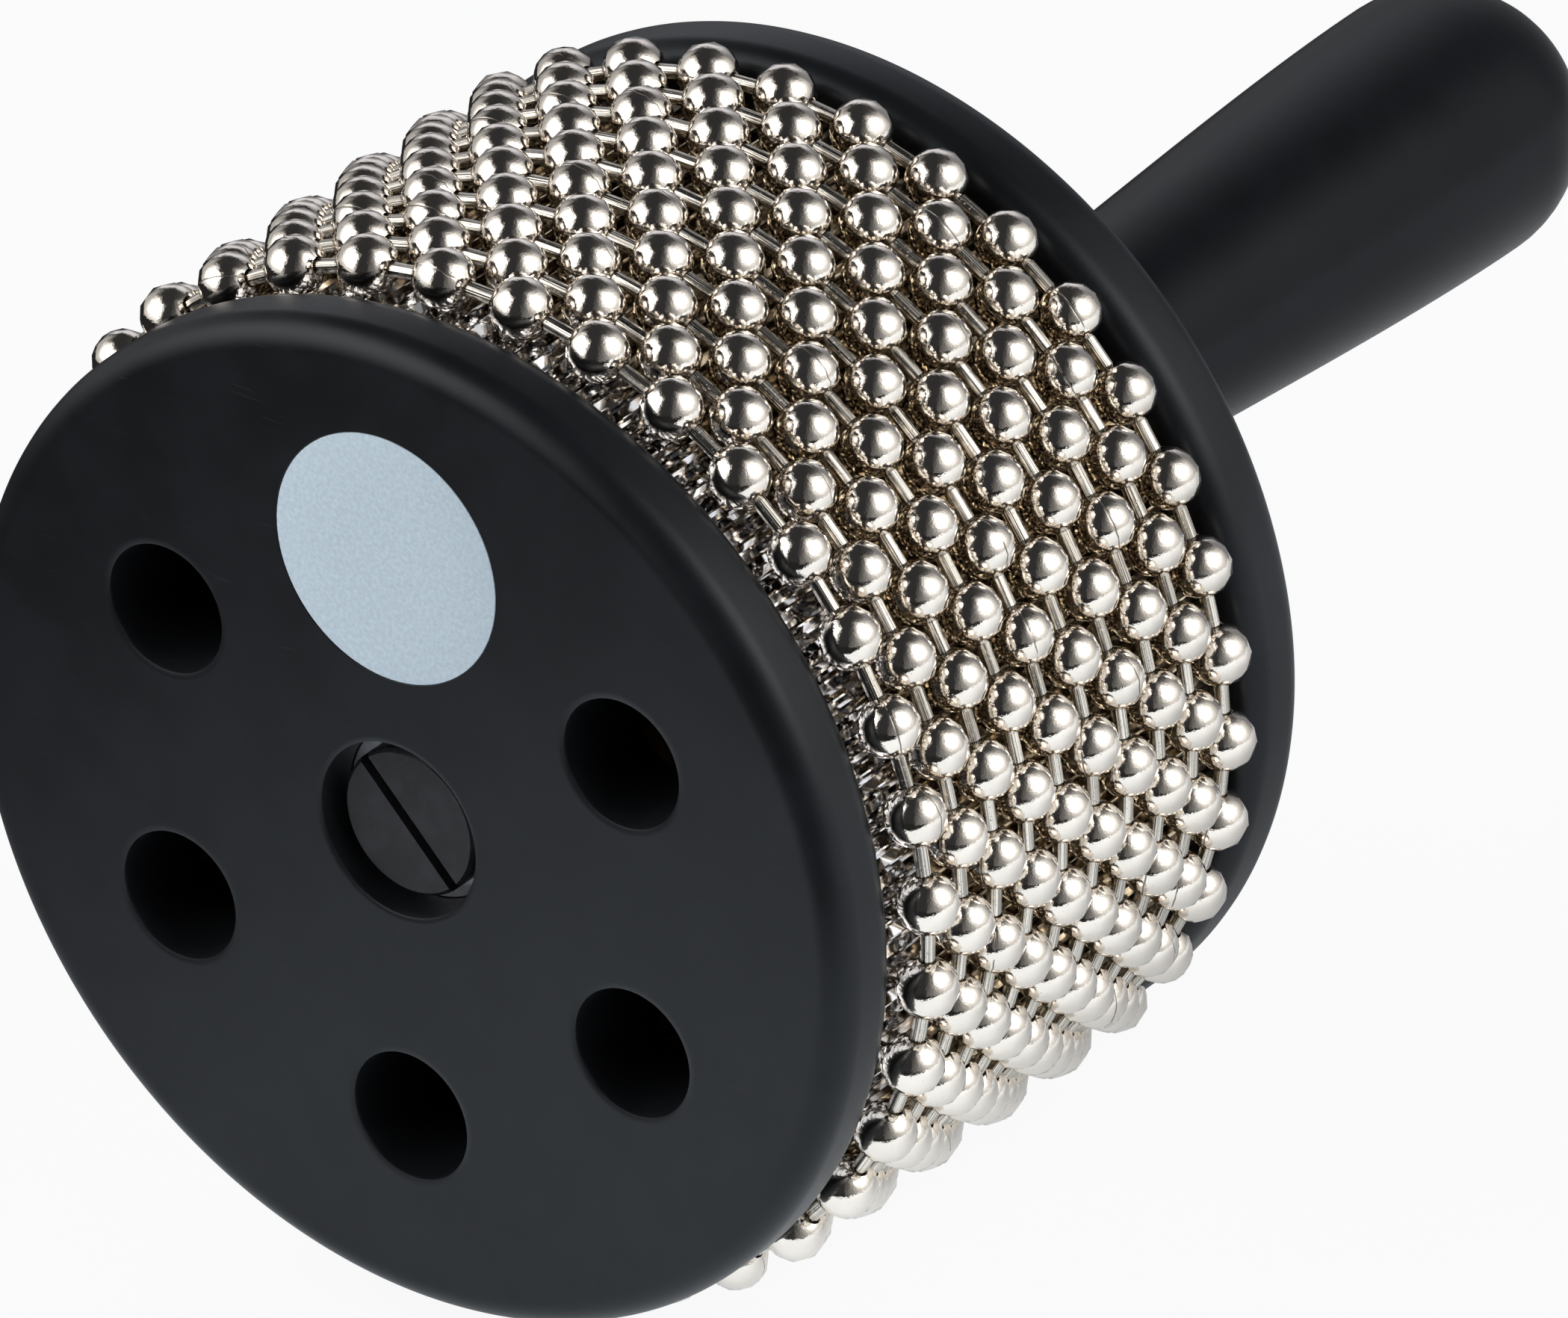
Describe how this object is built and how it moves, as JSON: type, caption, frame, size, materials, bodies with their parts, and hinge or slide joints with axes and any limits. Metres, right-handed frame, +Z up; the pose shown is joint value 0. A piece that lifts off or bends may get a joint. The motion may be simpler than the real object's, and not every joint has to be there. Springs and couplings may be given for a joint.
{
  "type": "cabasa",
  "caption": "Hand-held cabasa: a ridged steel drum between two black discs, wrapped in loops of ball chain that turn on it, with a tapered handle.",
  "frame": {"origin": "on the ground under the middle of the object's length, where it lies on its lowest beads", "axes": "+Y along the drum's axis from the front disc to the handle's tip, +Z up, +X to the right as seen from the front"},
  "size_m": [0.1124, 0.187, 0.1124],
  "materials": {
    "black_plastic": "satin, fine leather-like texture",
    "black_grip": "satin, fine texture",
    "badge": "satin sticker",
    "ridged_steel": "polished, ridged",
    "core_wood": "plain",
    "dark_bolt": "black oxide",
    "washer_zinc": "zinc plated",
    "insert_brass": "plain",
    "bead_nickel": "polished nickel plate",
    "link_nickel": "drawn and nickel plated"
  },
  "bodies": {
    "root": {"front_disc": "black_plastic", "label_badge": "badge", "steel_cylinder": "ridged_steel", "core_dowel": "core_wood", "rear_disc": "black_plastic", "handle": "black_grip", "centre_bolt": "dark_bolt", "bolt_washer": "washer_zinc", "threaded_insert": "insert_brass"},
    "chain_01": {"chain_01_beads": "bead_nickel", "chain_01_links": "link_nickel"},
    "chain_02": {"chain_02_beads": "bead_nickel", "chain_02_links": "link_nickel"},
    "chain_03": {"chain_03_beads": "bead_nickel", "chain_03_links": "link_nickel"},
    "chain_04": {"chain_04_beads": "bead_nickel", "chain_04_links": "link_nickel"},
    "chain_05": {"chain_05_beads": "bead_nickel", "chain_05_links": "link_nickel"},
    "chain_06": {"chain_06_beads": "bead_nickel", "chain_06_links": "link_nickel"},
    "chain_07": {"chain_07_beads": "bead_nickel", "chain_07_links": "link_nickel"},
    "chain_08": {"chain_08_beads": "bead_nickel", "chain_08_links": "link_nickel"},
    "chain_09": {"chain_09_beads": "bead_nickel", "chain_09_links": "link_nickel"},
    "chain_10": {"chain_10_beads": "bead_nickel", "chain_10_links": "link_nickel"}
  },
  "joints": [
    {"name": "chain_01_turn", "type": "hinge", "parent": "root", "child": "chain_01", "pos_m": [0, -0.07995, 0.05622], "axis": [0, 1, 0], "continuous": true},
    {"name": "chain_02_turn", "type": "hinge", "parent": "root", "child": "chain_02", "pos_m": [0, -0.07462, 0.05622], "axis": [0, 1, 0], "continuous": true},
    {"name": "chain_03_turn", "type": "hinge", "parent": "root", "child": "chain_03", "pos_m": [0, -0.06929, 0.05622], "axis": [0, 1, 0], "continuous": true},
    {"name": "chain_04_turn", "type": "hinge", "parent": "root", "child": "chain_04", "pos_m": [0, -0.06396, 0.05622], "axis": [0, 1, 0], "continuous": true},
    {"name": "chain_05_turn", "type": "hinge", "parent": "root", "child": "chain_05", "pos_m": [0, -0.05863, 0.05622], "axis": [0, 1, 0], "continuous": true},
    {"name": "chain_06_turn", "type": "hinge", "parent": "root", "child": "chain_06", "pos_m": [0, -0.0533, 0.05622], "axis": [0, 1, 0], "continuous": true},
    {"name": "chain_07_turn", "type": "hinge", "parent": "root", "child": "chain_07", "pos_m": [0, -0.04797, 0.05622], "axis": [0, 1, 0], "continuous": true},
    {"name": "chain_08_turn", "type": "hinge", "parent": "root", "child": "chain_08", "pos_m": [0, -0.04265, 0.05622], "axis": [0, 1, 0], "continuous": true},
    {"name": "chain_09_turn", "type": "hinge", "parent": "root", "child": "chain_09", "pos_m": [0, -0.03732, 0.05622], "axis": [0, 1, 0], "continuous": true},
    {"name": "chain_10_turn", "type": "hinge", "parent": "root", "child": "chain_10", "pos_m": [0, -0.03198, 0.05622], "axis": [0, 1, 0], "continuous": true}
  ],
  "couplings": [
    {"joint": "chain_02_turn", "follows": "chain_01_turn", "ratio": 1},
    {"joint": "chain_03_turn", "follows": "chain_01_turn", "ratio": 1},
    {"joint": "chain_04_turn", "follows": "chain_01_turn", "ratio": 1},
    {"joint": "chain_05_turn", "follows": "chain_01_turn", "ratio": 1},
    {"joint": "chain_06_turn", "follows": "chain_01_turn", "ratio": 1},
    {"joint": "chain_07_turn", "follows": "chain_01_turn", "ratio": 1},
    {"joint": "chain_08_turn", "follows": "chain_01_turn", "ratio": 1},
    {"joint": "chain_09_turn", "follows": "chain_01_turn", "ratio": 1},
    {"joint": "chain_10_turn", "follows": "chain_01_turn", "ratio": 1}
  ]
}
